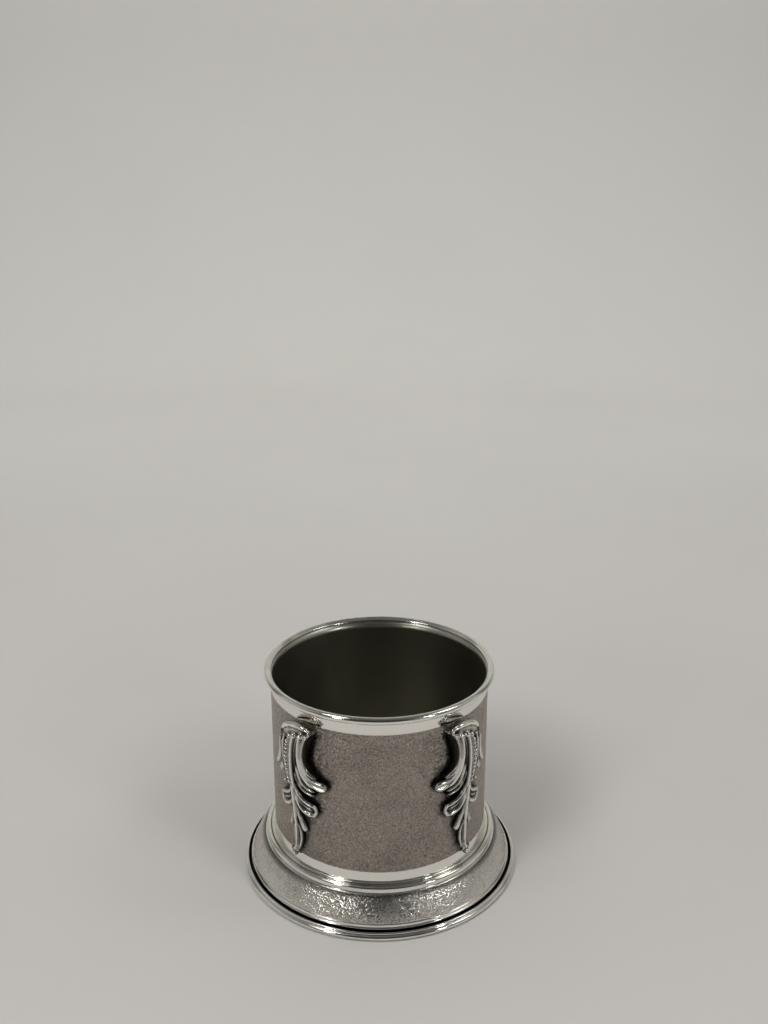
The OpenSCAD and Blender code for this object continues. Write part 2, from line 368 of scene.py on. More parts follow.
# matt punched ground, and plain polish where the attribute that marks the ground is 0
def makeStippledSilver(name, setup):
    material, tree, shader = newMaterial(name)
    shader.inputs["Metallic"].default_value = 1.0
    ground, crest, patinaAndShade = [readMark(tree, label) for label in ("groundMask", "grainHeight", "patinaAndShade")]
    grain = placeGroup(tree, punchedGrain, Grain=setup["grain"], Facet=setup["facet"])
    lean = addNode(tree, "ShaderNodeVectorMath", {
        0: grain.outputs["Tilt"], "Scale": ground * setup["lean"]}, operation="SCALE")
    facing = addNode(tree, "ShaderNodeNewGeometry").outputs["Normal"]
    leant = addNode(tree, "ShaderNodeVectorMath", {0: facing, 1: lean.outputs[0]}, operation="ADD")
    normal = addNode(tree, "ShaderNodeVectorMath", {0: leant.outputs[0]}, operation="NORMALIZE").outputs[0]
    # painted shade: the low spots and the punched pits of the ground are painted darker
    low = crest.between(*setup["lowAt"], setup["low"], 0.0)
    pit = (field(tree, grain, "Pit") * setup["pit"] + low).calc("MINIMUM", 1.0)
    film = placeGroup(
        tree, tarnishAndShade, Patch_Size=setup["cloudSize"], Amount=setup["cloud"], Hollow=pit,
        Clean=setup["bright"], Dull=setup["dark"])
    # the inside is seldom polished, so it is duller than the bands; its colour is also painted darker,
    # painted shade for the dark reflections inside
    x, y, _ = splitVector(tree, objectPlace(tree))
    inside = (x * x + y * y).calc("SQRT").between(setup["insideFrom"], setup["insideTo"], 1.0, 0.0)
    smooth = mixColors(tree, inside, setup["bandClean"], setup["inside"])
    silver = mixColors(tree, ground, smooth, field(tree, film, "Color"))
    # the mark darkens the ground to near black: painted shadow beside the leaves and painted shade under the
    # beads, each with some patina
    feed(tree, shader.inputs["Base Color"], mixColors(tree, patinaAndShade * ground, silver, setup["patinaAndShade"]))
    marks = placeGroup(tree, wipeMarks, Cloud_Size=setup["cloudSize"])
    cloud = field(tree, marks, "Cloud")
    plain = cloud * setup["smear"] + field(tree, marks, "Scratch") * setup["scratch"]
    plain = plain + inside * setup["insideMatt"] + setup["gloss"]
    matt = cloud * setup["mattSmear"] - field(tree, grain, "Shine") * setup["shine"] + setup["matt"]
    feed(tree, shader.inputs["Roughness"], plain + (matt - plain) * ground)
    addBump(tree, shader, field(tree, grain, "Height") * ground, 1.0, setup["grainDepth"], normal)
    return material


baize = {
    "dark": (0.020, 0.026, 0.022, 1), "light": (0.065, 0.078, 0.068, 1), "shades": (0.3, 0.8),
    "fibre": 0.0006, "fibreDetail": 6.0, "twist": 1.5, "fibreShare": 0.7,
    "layScale": 90.0, "layDetail": 3.0, "layShare": 0.4,
    "mattAt": (0.2, 0.9), "matt": (0.98, 0.85), "sheen": 0.4, "fuzzBump": 0.8, "fuzzDepth": 0.0002,
}


def makeBaize():
    material, tree, shader = newMaterial("baizeCloth")
    place = objectPlace(tree)
    fuzz = noiseAt(tree, place, 1 / baize["fibre"], baize["fibreDetail"], distortion=baize["twist"])
    lay = noiseAt(tree, place, baize["layScale"], baize["layDetail"])
    shade = fuzz * baize["fibreShare"] + lay * baize["layShare"]
    color = mixColors(tree, shade.between(*baize["shades"]), baize["dark"], baize["light"])
    feed(tree, shader.inputs["Base Color"], color)
    feed(tree, shader.inputs["Roughness"], shade.between(*baize["mattAt"], *baize["matt"]))
    shader.inputs["Sheen Weight"].default_value = baize["sheen"]
    addBump(tree, shader, shade, baize["fuzzBump"], baize["fuzzDepth"])
    return material


# the grooves between the foot's parts are painted near black with this dull colour: painted shade
grooveShadeLook = dict(polished, dull=(0.02, 0.018, 0.016, 1))
# the cast's dark dull colour is what its hollows are painted towards: painted shade with patina
castLook = dict(
    polished, clean=(0.965, 0.95, 0.895, 1), dull=(0.03, 0.027, 0.024, 1), gloss=0.12, smear=0.06, film=0.12)
# the floor pan takes the inside's darker colour: seldom polished, and painted shade as well
insideLook = dict(polished, clean=stippled["inside"], gloss=0.26)
skirtLook = dict(
    stippled, bright=(0.87, 0.855, 0.80, 1), dark=(0.22, 0.205, 0.185, 1), matt=0.22, shine=0.11,
    grainDepth=0.00002, pit=0.2, facet=0.00024, lean=0.42)
polishedSilver = makePolishedSilver("polishedSilver", "groundMask", grooveShadeLook)
castSilver = makePolishedSilver("castSilver", "hollowShadeAndPatina", castLook)
insideSilver = makePolishedSilver("insideSilver", None, insideLook)
wallStipple = makeStippledSilver("wallStipple", stippled)
skirtStipple = makeStippledSilver("skirtStipple", skirtLook)
baizeCloth = makeBaize()
print("finishes made")


# lathe work: a tree turns a row of profile points about the axis and punches the ground into it
coarsePunch = {
    "dents": (0.05, 0.75), "dentShare": 0.65, "wanderScale": 0.6, "wanderDetail": 3.0, "wanderShare": 0.5,
    "level": 0.9,
}


def makeLathe():
    tree, given, result = newGroup(
        "turnedOnLathe", "GeometryNodeTree",
        {"Profile": "Object", "Rows": "Int", "Around": "Int", "Grain Size": "Float", "Grain Depth": "Float",
         "Finish": "Material"}, {"Geometry": "Geometry"})
    grid, row, turn = turnGrid(tree, given["Around"], given["Rows"])
    shape = addNode(tree, "GeometryNodeObjectInfo", {"Object": given["Profile"]}).outputs["Geometry"]

    def fromProfile(value, dataType):
        node = addNode(tree, "GeometryNodeSampleIndex", {
            "Geometry": shape, "Value": value, "Index": row}, data_type=dataType, domain="POINT", clamp=True)
        return node.outputs["Value"]

    def named(label, dataType):
        node = addNode(tree, "GeometryNodeInputNamedAttribute", {"Name": label}, data_type=dataType)
        return fromProfile(node.outputs["Attribute"], dataType)

    position = addNode(tree, "GeometryNodeInputPosition").outputs[0]
    point = splitVector(tree, fromProfile(position, "FLOAT_VECTOR"))
    facing = splitVector(tree, named("facing", "FLOAT_VECTOR"))
    ground = Field(tree, named("ground", "FLOAT"))
    sine, minusCosine = turn.calc("SINE"), turn.calc("COSINE") * -1.0
    place = joinVector(tree, point[0] * sine, point[0] * minusCosine, point[2])
    outward = joinVector(tree, facing[0] * sine, facing[0] * minusCosine, facing[2])
    scale = given["Grain Size"].inverse()
    cells = field(tree, cellsAt(tree, place, scale), "Distance")
    dents = cells.between(*coarsePunch["dents"], 1.0, 0.0)
    wander = noiseAt(tree, place, scale * coarsePunch["wanderScale"], coarsePunch["wanderDetail"])
    height = dents * coarsePunch["dentShare"] + wander * coarsePunch["wanderShare"]
    height = height.calc("MINIMUM", 1.0)
    sink = (height - coarsePunch["level"]) * ground * given["Grain Depth"]
    offset = addNode(tree, "ShaderNodeVectorMath", {0: outward, "Scale": sink}, operation="SCALE")
    # the marks are stored before the points move, while the fields still read the flat grid
    marked = grid
    for label, value in (("groundMask", ground), ("grainHeight", height)):
        store = addNode(tree, "GeometryNodeStoreNamedAttribute", {
            "Geometry": marked, "Name": label, "Value": value}, data_type="FLOAT", domain="POINT")
        marked = store.outputs["Geometry"]
    endTree(tree, setPoints(tree, marked, place, offset.outputs[0]), given, result)
    return tree


lathe = makeLathe()
sameSpot = 1e-4  # profile points closer than this, in millimetres, become one


# profile points are radius, height and a mark: on stippled pieces it says where the ground is punched, on
# polished pieces where shade is painted dark
def arcPoints(middleR, middleZ, radius, start, end, steps):
    turns = [math.radians(start + (end - start) * k / steps) for k in range(steps + 1)]
    return [(middleR + radius * math.cos(a), middleZ + radius * math.sin(a), 0.0) for a in turns]


def straight(a, b, steps=1, ground=0.0):
    shares = [k / steps for k in range(steps + 1)]
    return [(a[0] + (b[0] - a[0]) * s, a[1] + (b[1] - a[1]) * s, ground) for s in shares]


# points run up the outer face, over the top and down the inside, in millimetres
def turnPiece(name, node, points, finish, setup):
    kept = [points[0]]
    for p in points[1:] + points[:1]:
        if math.dist(p[:2], kept[-1][:2]) > sameSpot:
            kept.append(p)
    ring = np.array([p[:2] for p in kept])
    step = np.gradient(ring, axis=0)
    step[0] = step[-1] = (ring[1] - ring[0]) + (ring[-1] - ring[-2])
    step /= np.linalg.norm(step, axis=1)[:, None] + tiny
    profile = newMeshObject(name + "Profile", [(r * mm, 0, z * mm) for r, z in ring])
    facing = profile.data.attributes.new("facing", "FLOAT_VECTOR", "POINT")
    facing.data.foreach_set("vector", np.column_stack([step[:, 1], 0 * step[:, 0], -step[:, 0]]).ravel())
    markPoints(profile.data, "ground", [p[2] for p in kept])
    piece = runTree(name, lathe, {
        "Profile": profile, "Rows": len(kept), "Around": setup["around"],
        "Grain Size": setup.get("grainSize", 1.0) * mm, "Grain Depth": setup.get("grainDepth", 0.0) * mm,
        "Finish": finish})
    bpy.data.objects.remove(profile)
    closeMesh(piece)
    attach(piece, "root")
    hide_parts(node)
    return piece


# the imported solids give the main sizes: radius, lowest and highest point
def boxOf(node):
    low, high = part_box(node)
    return high.x / mm, low.z / mm, high.z / mm


wallR, floorZ, wallTop = boxOf("wall_sleeve")
cupR = round(wallR, 2)

wall = {
    "sheet": 0.8, "groundLow": 24.3, "groundHigh": 92.2, "step": 0.05, "edge": 0.15,
    "flare": 0.75, "flareBend": 1.3, "flareRows": 9, "bandRows": 5, "insideRows": 24,
    "rowGap": 0.56, "around": 560, "grainSize": 0.95, "grainDepth": 0.06,
}


def makeWall():
    inner, groundR = cupR - wall["sheet"], cupR - wall["step"]
    low, high = wall["groundLow"], wall["groundHigh"]
    rows = round((high - low) / wall["rowGap"])
    bandTop = low - wall["edge"]
    points = []
    for share in np.linspace(1, 0, wall["flareRows"]):
        flare = wall["flare"] * share ** wall["flareBend"]
        points.append((cupR + flare, bandTop - share * (bandTop - floorZ), 0.0))
    points += straight((groundR, low), (groundR, high), rows, ground=1.0)
    points += straight((cupR, high + wall["edge"]), (cupR, wallTop), wall["bandRows"])
    points += straight((inner, wallTop), (inner, floorZ), wall["insideRows"])
    return turnPiece("wallSleeve", "wall_sleeve", points, wallStipple, wall)


rim = {
    "wire": 3.3, "out": 1.3, "rise": 0.65, "seat": 0.05, "crownEnd": 118, "steps": 40,
    "lip": 0.3, "lipRound": 0.7, "lipRise": 0.75, "lipFrom": 100, "lipSteps": 8, "around": 288,
}


def makeRim():
    r, z, radius = cupR + rim["out"], wallTop + rim["rise"], rim["wire"] / 2
    inner = cupR - wall["sheet"] + rim["lip"]
    seat, curl = cupR + rim["seat"], rim["lipRound"]
    seatTurn = math.degrees(math.acos((r - seat) / radius)) - 180
    points = arcPoints(r, z, radius, seatTurn, rim["crownEnd"], rim["steps"])
    points += arcPoints(inner + curl, wallTop + rim["lipRise"], curl, rim["lipFrom"], 180, rim["lipSteps"])
    points += [(inner, wallTop, 0.0), (seat, wallTop, 0.0)]
    return turnPiece("rimBead", "rim_bead", points, polishedSilver, rim)


upper = {"wire": 1.9, "seat": 0.05, "steps": 32, "around": 288}


def makeUpperBead():
    edge, _, high = boxOf("upper_bead")
    radius = upper["wire"] / 2
    points = arcPoints(edge - radius, high - radius, radius, -90, 270, upper["steps"])
    return turnPiece("upperBead", "upper_bead", points, polishedSilver, upper)


lower = {"ledge": 1.6, "corner": 0.2, "cornerSteps": 4, "steps": 20, "around": 288}


def makeLowerBead():
    edge, low, high = boxOf("lower_bead")
    seat, channel = cupR + upper["seat"], cupR + 2 * upper["seat"] + upper["wire"]
    radius = (edge - channel) / 2
    ledge, corner = low + lower["ledge"], lower["corner"]
    points = arcPoints(edge - corner, low + corner, corner, -90, 0, lower["cornerSteps"])
    points += arcPoints(edge - radius, high - radius, radius, 0, 180, lower["steps"])
    points += [(channel, ledge, 0.0), (seat, ledge, 0.0), (seat, low, 0.0)]
    return turnPiece("lowerBead", "lower_bead", points, polishedSilver, lower)


skirt = {
    "footR": 61.1, "cornerR": 55.1, "round": 1.5, "roundSteps": 10, "sheet": 1.1, "inner": 46.0,
    "innerRows": 6, "swell": 0.6, "groundFoot": 6.2, "groundTop": 14.9, "footEdge": 0.1, "topEdge": 0.12,
    "paintedShade": 0.75, "paintedShadeDepths": (2.2, 0.5),
    "rowGap": 0.34, "around": 1100, "grainSize": 0.7, "grainDepth": 0.03,
}


def makeSkirt():
    _, low, high = boxOf("foot_skirt")
    foot, corner, sheet, bend = skirt["footR"], skirt["cornerR"], skirt["sheet"], skirt["round"]
    flare = math.atan((foot - corner) / (high - low))
    shoulder = corner - bend * math.tan((math.pi / 2 - flare) / 2)

    def onFlare(z):
        share = (z - low) / (high - low)
        swell = 4 * skirt["swell"] * share * (1 - share)
        return (foot - (z - low) * math.tan(flare) + swell * math.cos(flare), z + swell * math.sin(flare))

    groundFoot, groundTop = skirt["groundFoot"], skirt["groundTop"]
    rows = round((groundTop - groundFoot) / math.cos(flare) / skirt["rowGap"])
    points = straight((foot, low), onFlare(groundFoot - skirt["footEdge"]))
    points += [onFlare(z) + (1.0,) for z in np.linspace(groundFoot, groundTop, rows + 1)]
    brow = arcPoints(shoulder, high - bend, bend, math.degrees(flare), 90, skirt["roundSteps"])
    points += [(r, z, float(z < high - skirt["topEdge"])) for r, z, _ in brow]
    points += straight((shoulder, high), (skirt["inner"], high), skirt["innerRows"])
    points += [(skirt["inner"], high - sheet, 0.0), (shoulder - sheet, high - sheet, 0.0)]
    points += [(foot - sheet / math.cos(flare), low, 0.0)]
    piece = turnPiece("footSkirt", "foot_skirt", points, skirtStipple, skirt)
    # painted shade with a little patina: the corner under the beads is darkened, where shade falls
    deep = [high - depth for depth in skirt["paintedShadeDepths"]]
    heights = readPoints(piece.data)[:, 2] / mm
    markPoints(piece.data, "patinaAndShade", np.interp(heights, deep, (0.0, skirt["paintedShade"])))
    return piece


lip = {
    "width": 1.4, "round": 0.4, "roundSteps": 6, "bead": 1.2, "beadRise": 2.0, "beadTurn": 84,
    "beadSteps": 14, "meet": 0.05, "gap": 0.1, "around": 320,
}


def makeLip():
    edge, low, high = boxOf("lip_wire")
    radius = lip["bead"] / 2
    face = edge - radius
    back, bend = face - lip["width"], lip["round"]
    beadZ = low + lip["beadRise"]
    # the lip's face below its bead is painted dark: painted shade in the groove beside the ring
    points = [(face, low, 1.0), (face, beadZ - radius, 1.0)]
    bead = arcPoints(face, beadZ, radius, -lip["beadTurn"], lip["beadTurn"], lip["beadSteps"])
    points += [(r, z, float(z < beadZ - lip["meet"])) for r, z, _ in bead]
    points += [(face, beadZ + radius + lip["gap"], 0.0)]
    points += arcPoints(face - bend, high - bend, bend, 0, 90, lip["roundSteps"])
    points += [(back, high, 0.0), (back, low, 0.0)]
    return turnPiece("lipWire", "lip_wire", points, polishedSilver, lip)


ring = {
    "width": 2.3, "bead": 2.3, "beadEnd": 86.5, "beadSteps": 26,
    "collar": 1.0, "collarSteps": 14, "shadeWidth": 0.45, "around": 320,
}


def makeRing():
    edge, low, high = boxOf("foot_ring")
    inner = edge - ring["width"]
    radius, collarR = ring["bead"] / 2, ring["collar"] / 2
    points = arcPoints(edge - radius, low + radius, radius, -90, ring["beadEnd"], ring["beadSteps"])
    collar = arcPoints(inner + collarR, high - collarR, collarR, 0, 180, ring["collarSteps"])
    # the ring's inner collar is painted dark: painted shade in the groove beside the lip
    points += [(r, z, float(r < inner + ring["shadeWidth"])) for r, z, _ in collar]
    points += [(inner, low, 1.0)]
    return turnPiece("footRing", "foot_ring", points, polishedSilver, ring)


floorPan = {"sheet": 1.2, "gap": 0.05, "step": 0.02, "topRows": 30, "backRows": 4, "around": 160}


def makeFloor():
    _, low, _ = boxOf("floor_pan")
    sheet = floorPan["sheet"]
    points = straight((cupR, low), (cupR, floorZ - floorPan["step"]))
    points += straight((cupR - wall["sheet"] - floorPan["gap"], floorZ), (0.0, floorZ), floorPan["topRows"])
    points += straight((0.0, floorZ - sheet), (cupR - sheet, floorZ - sheet), floorPan["backRows"])
    points += [(cupR - sheet, low, 0.0)]
    return turnPiece("floorPan", "floor_pan", points, insideSilver, floorPan)


base = {
    "corner": 0.15, "cornerSteps": 3, "shadeWidth": 2.0, "shadeEdge": 0.1, "shadeRows": 2, "rows": 6,
    "around": 192,
}


def makeBase():
    edge, low, high = boxOf("base_plate")
    dark, corner = edge - base["shadeWidth"], base["corner"]
    points = arcPoints(edge - corner, low + corner, corner, -90, 0, base["cornerSteps"])
    # the plate's top under the gap between lip and ring is painted dark: painted shade
    points += straight((edge, high), (dark, high), base["shadeRows"], ground=1.0)
    points += straight((dark - base["shadeEdge"], high), (0.0, high), base["rows"])
    points += straight((0.0, low), (edge - corner, low), base["rows"])
    return turnPiece("basePlate", "base_plate", points, polishedSilver, base)


pad = {"footRound": 0.3, "topRound": 0.2, "roundSteps": 4, "topRows": 10, "footRows": 40, "around": 240}


def makePad():
    edge, _, high = boxOf("baize_pad")
    foot, top = pad["footRound"], pad["topRound"]
    points = arcPoints(edge - foot, foot, foot, -90, 0, pad["roundSteps"])
    points += arcPoints(edge - top, high - top, top, 0, 90, pad["roundSteps"])
    points += straight((edge - top, high), (0.0, high), pad["topRows"])
    points += straight((0.0, 0.0), (edge - foot, 0.0), pad["footRows"])
    piece = turnPiece("baizePad", "baize_pad", points, baizeCloth, pad)
    return piece


turned = [make() for make in (
    makeWall, makeRim, makeUpperBead, makeLowerBead, makeSkirt,
    makeLip, makeRing, makeFloor, makeBase, makePad)]
print("turned pieces:", {o.name: len(o.data.polygons) for o in turned})


# acanthus leaf: lobes are swept over the wall along their own curves, then fused like a casting
leaf = {
    "foot": 24.6, "bite": 0.5, "steps": 44, "around": 20, "voxel": 0.25,
    "smooth": 6, "relax": (0.6, 0.55), "sink": 0.3, "cell": 0.4, "reach": 8,
    "flutes": (3, 0.08, 0.7), "fluteTone": 0.55, "flanks": (6, 0.5, 1.6), "blur": 2,
    "openFrom": 57.0, "openOver": 4.0, "openFacing": (0.1, 0.5), "openLit": 0.9,
}


def wrapOnWall(tree, given, u, v, height):
    radius = height + given["Wall Radius"]
    angle = u / radius
    x, y = radius * angle.calc("SINE") * mm, radius * angle.calc("COSINE") * -mm
    return joinVector(tree, x, y, (v + given["Foot Height"]) * mm)


# shares of a lobe's length and width
lobeForm = {
    "tipFrom": 0.87, "tipRound": 0.96, "tipLow": 0.8, "rootOver": 0.08, "rootWidth": 0.55, "riseOver": 0.2,
    "spoonWidth": 0.62, "spoonOver": 0.45,
}
pathSteps = 48
curveEnds = ("Start", "Start Handle", "End Handle", "End")
lobeSizes = (
    "Start Width", "End Width", "Start Crest", "End Crest", "Start Flank", "End Flank", "Rise In",
    "Sharpness", "Spoon", "Spoon From", "Side", "Wall Radius", "Foot Height", "Bite")


def makeLobeTree():
    tree, given, result = newGroup(
        "lobeOnWall", "GeometryNodeTree",
        {**dict.fromkeys(curveEnds, "Vector"), **dict.fromkeys(lobeSizes, "Float"),
         "Steps": "Int", "Around": "Int", "Finish": "Material"}, {"Geometry": "Geometry"})
    ends = {label: given[label] for label in curveEnds}
    line = addNode(tree, "GeometryNodeCurvePrimitiveBezierSegment", {
        "Resolution": pathSteps, **ends}, mode="POSITION")
    steps = given["Steps"]
    grid, row, turn = turnGrid(tree, given["Around"], steps + 3)
    cosine, sine = turn.calc("COSINE"), turn.calc("SINE")
    share = ((row - 1.0) / steps).calc("MAXIMUM", 0.0).calc("MINIMUM", 1.0)
    # the first and last rows close the ends
    capped = row.calc("GREATER_THAN", 0.5) * row.calc("LESS_THAN", steps + 1.5)
    sample = addNode(tree, "GeometryNodeSampleCurve", {
        "Curves": line.outputs[0], "Factor": share}, mode="FACTOR", use_all_curves=True)
    px, py, _ = splitVector(tree, sample.outputs["Position"])
    tx, ty, _ = splitVector(tree, sample.outputs["Tangent"])

    def along(label):
        return given["Start " + label] + (given["End " + label] - given["Start " + label]) * share

    nearTip = ((share - lobeForm["tipFrom"]) / (1 - lobeForm["tipFrom"])).calc("MAXIMUM", 0.0)
    tip = (nearTip * nearTip * -lobeForm["tipRound"] + 1.0).calc("SQRT")
    rootEnd = share.between(0.0, lobeForm["rootOver"], lobeForm["rootWidth"], 1.0)
    width = along("Width") * tip * rootEnd * capped
    rise = share.between(0.0, lobeForm["riseOver"], given["Rise In"], 1.0)
    crest = along("Crest") * rise * (tip * (1 - lobeForm["tipLow"]) + lobeForm["tipLow"])
    flank = along("Flank") * rise
    aside = width * cosine
    ridge = sine.calc("MAXIMUM", 0.0).calc("POWER", given["Sharpness"])
    # a spoon shape: the crest sinks along the middle towards the tip
    middle = cosine.calc("ABSOLUTE").between(0.0, lobeForm["spoonWidth"], 1.0, 0.0)
    hollowAt = share.between(given["Spoon From"], given["Spoon From"] + lobeForm["spoonOver"])
    ridge = ridge * (given["Spoon"] * hollowAt * middle * -1.0 + 1.0)
    # the lobe is widest at its flank and narrows below it, so a high flank leaves a shadow beneath
    below = (flank + given["Bite"]) * sine.calc("MINIMUM", 0.0)
    height = flank + (crest - flank) * ridge * capped + below * capped
    place = wrapOnWall(tree, given, (px + aside * ty) * given["Side"], py - aside * tx, height)
    endTree(tree, setPoints(tree, grid, place), given, result)
    return tree


lobeTree = makeLobeTree()


# every lobe: four points of its curve (across, up), half widths, heights of crest and flank, its shaping
def lobe(path, wide, crest, flank, **shaping):
    return {"path": path, "wide": wide, "crest": crest, "flank": flank, **shaping}


panelLobes = [
    lobe([(1.7, 62.4), (-2.2, 54.3), (-2.4, 43.5), (-0.1, 34.2)],
         (1.7, 0.9), (6.1, 4.0), (4.2, 2.2), sharp=0.5),
    lobe([(5.2, 63.2), (1.5, 55.5), (0.4, 43.8), (5.6, 36.6)],
         (2.1, 2.0), (6.0, 2.9), (4.4, 1.4), sharp=0.5, spoon=0.2, spoonFrom=-0.5),
    lobe([(9.2, 64.5), (5.1, 57.2), (2.2, 45.3), (10.8, 40.8)],
         (1.9, 1.9), (5.7, 2.8), (4.4, 1.4), sharp=0.5, spoon=0.2, spoonFrom=-0.5),
    lobe([(3.3, 63.0), (-0.4, 55.0), (-0.9, 44.0), (0.5, 34.6)], (0.85, 0.65), (7.2, 4.8), (5.0, 2.8)),
    lobe([(7.1, 63.9), (3.4, 56.0), (1.6, 43.5), (10.6, 38.6)], (0.85, 0.85), (7.0, 3.7), (4.8, 1.8)),
    lobe([(11.2, 65.6), (6.2, 58.5), (2.3, 47.2), (12.2, 43.6)],
         (0.5, 0.7), (6.8, 3.8), (5.2, 2.2), sharp=1.1),
    lobe([(5.2, 62.6), (1.4, 55.4), (0.3, 43.8), (4.6, 37.4)], (0.4, 0.5), (6.5, 3.5), (4.6, 1.8)),
    lobe([(9.1, 64.2), (4.9, 57.2), (2.2, 45.6), (9.5, 41.2)], (0.4, 0.5), (6.3, 3.5), (4.6, 1.8)),
    lobe([(5.4, 56.0), (3.6, 45.0), (8.4, 39.8), (17.0, 39.9)],
         (0.6, 2.7), (5.6, 3.7), (4.0, 2.0), spoon=0.75, spoonFrom=0.25, riseIn=0.7),
    lobe([(5.6, 52.0), (4.8, 44.6), (8.6, 40.4), (14.6, 40.2)],
         (0.4, 0.5), (5.4, 2.6), (3.6, 1.4), riseIn=0.7),
    lobe([(2.6, 50.0), (2.4, 41.5), (5.2, 36.9), (11.0, 36.6)],
         (0.6, 0.9), (5.6, 3.0), (3.4, 1.4), riseIn=0.7),
    lobe([(1.3, 46.0), (1.4, 38.0), (4.2, 34.6), (10.2, 34.2)],
         (0.6, 0.8), (5.2, 2.6), (3.0, 1.2), riseIn=0.7),
]
outerLobes = [
    lobe([(4.6, 60.0), (6.6, 53.0), (5.6, 45.0), (7.0, 39.0)],
         (2.6, 3.2), (4.9, 2.4), (3.2, 1.0), sharp=0.45),
    lobe([(6.2, 58.6), (8.6, 52.0), (8.4, 46.0), (11.4, 41.2)],
         (1.6, 2.8), (4.3, 2.2), (2.8, 0.9), sharp=0.45),
    lobe([(4.4, 59.2), (6.4, 51.0), (6.0, 44.5), (7.6, 37.6)], (0.4, 0.6), (5.4, 3.0), (3.6, 1.4)),
    lobe([(3.2, 60.6), (5.6, 53.0), (5.2, 45.0), (2.0, 36.0)], (0.8, 0.65), (6.4, 4.5), (4.2, 2.6)),
    lobe([(6.9, 59.0), (8.4, 53.0), (8.6, 47.0), (14.4, 41.6)],
         (0.7, 1.4), (5.4, 3.3), (4.2, 2.0), spoon=0.3),
    lobe([(5.2, 58.0), (6.8, 49.0), (6.6, 43.0), (12.0, 38.8)],
         (0.7, 1.4), (5.8, 3.0), (3.8, 1.6), spoon=0.4),
    lobe([(4.0, 47.0), (3.8, 40.0), (5.6, 35.6), (9.8, 34.2)],
         (0.7, 0.9), (5.0, 2.6), (3.0, 1.2), riseIn=0.7),
]
lowerLobes = [
    lobe([(1.6, 34.0), (2.4, 28.8), (5.4, 27.0), (9.8, 26.2)],
         (1.8, 1.8), (3.0, 1.6), (1.6, 0.6), sharp=0.5),
    lobe([(0.6, 35.0), (1.6, 29.4), (4.8, 27.2), (9.2, 26.3)],
         (0.45, 0.6), (4.2, 2.3), (2.4, 1.0), riseIn=0.75),
    lobe([(0.7, 38.0), (1.8, 31.8), (5.0, 29.9), (10.2, 28.6)],
         (0.8, 1.0), (4.9, 2.9), (3.0, 1.4), riseIn=0.75),
    lobe([(0.3, 34.0), (1.2, 26.6), (4.4, 23.9), (9.5, 23.9)],
         (0.8, 1.3), (4.5, 2.8), (2.6, 1.2), riseIn=0.75),
    lobe([(0.3, 28.0), (1.4, 21.5), (2.8, 17.0), (4.9, 14.0)],
         (0.75, 1.5), (3.8, 2.6), (2.0, 1.0), spoon=0.5, riseIn=0.75),
    lobe([(0.4, 18.0), (1.4, 13.5), (1.4, 8.0), (-0.6, 3.0)], (1.0, 0.8), (2.0, 1.5), (1.0, 0.6), sharp=0.5),
    lobe([(0.5, 17.0), (2.6, 14.0), (3.0, 7.5), (0.0, 2.6)], (0.6, 0.65), (2.8, 2.2), (1.4, 0.9)),
]
spine = [
    lobe([(0.0, 61.6), (-4.0, 53.5), (-3.8, 43.0), (-0.7, 33.6)],
         (0.9, 0.75), (6.3, 4.4), (4.0, 2.4), sharp=0.8),
    lobe([(-0.9, 37.0), (-0.4, 24.0), (1.0, 8.0), (-2.5, 1.0)], (0.85, 0.6), (4.9, 2.5), (2.8, 1.2)),
]
veinBeads = {"from": 0.09, "to": 0.84, "pitch": 2.05, "size": 1.6, "lift": 6.1, "end": 4.5, "points": 60}
# rolls of knobs as across, up, height and radius: the head's rim, its hollow behind, a lower fan's rim
headRim = [
    (-7.4, 57.0, 3.0, 0.45), (-6.7, 61.0, 3.8, 0.9), (-4.0, 64.8, 4.2, 1.15), (0.0, 67.0, 4.4, 1.25),
    (4.0, 67.7, 4.6, 1.2), (7.6, 67.5, 4.8, 1.0), (11.0, 66.7, 5.1, 0.4),
]
headHollow = [
    (-5.6, 59.2, 2.8, 1.6), (-3.2, 61.8, 3.2, 2.1), (0.6, 63.9, 3.5, 2.3), (4.0, 64.9, 3.6, 2.2),
    (7.4, 65.6, 3.8, 1.8), (10.4, 66.2, 4.4, 0.9),
]
fanRim = [(10.2, 28.5, 1.7, 1.0), (10.8, 26.2, 1.3, 0.9), (9.6, 23.9, 1.4, 1.1)]
rolls = [headRim, headHollow, fanRim, [(-u, v, height, radius) for u, v, height, radius in fanRim]]
# the knuckles where the ribs turn over, and the bud with its small leaves at the foot
knobs = [
    (0.0, 61.6, 5.6, 1.0), (3.2, 63.1, 5.9, 1.25), (7.0, 64.0, 5.9, 1.15), (11.2, 65.7, 5.6, 0.75),
    (-3.4, 60.4, 5.0, 0.95), (-2.8, -0.2, 1.6, 1.6), (-4.6, 1.0, 1.1, 0.9), (-0.9, 1.8, 1.5, 1.0),
    (-2.4, 2.4, 1.9, 0.9),
]
knobForm = {"segments": 16, "rollGap": 0.4, "single": 0.02, "singleGap": 0.5}


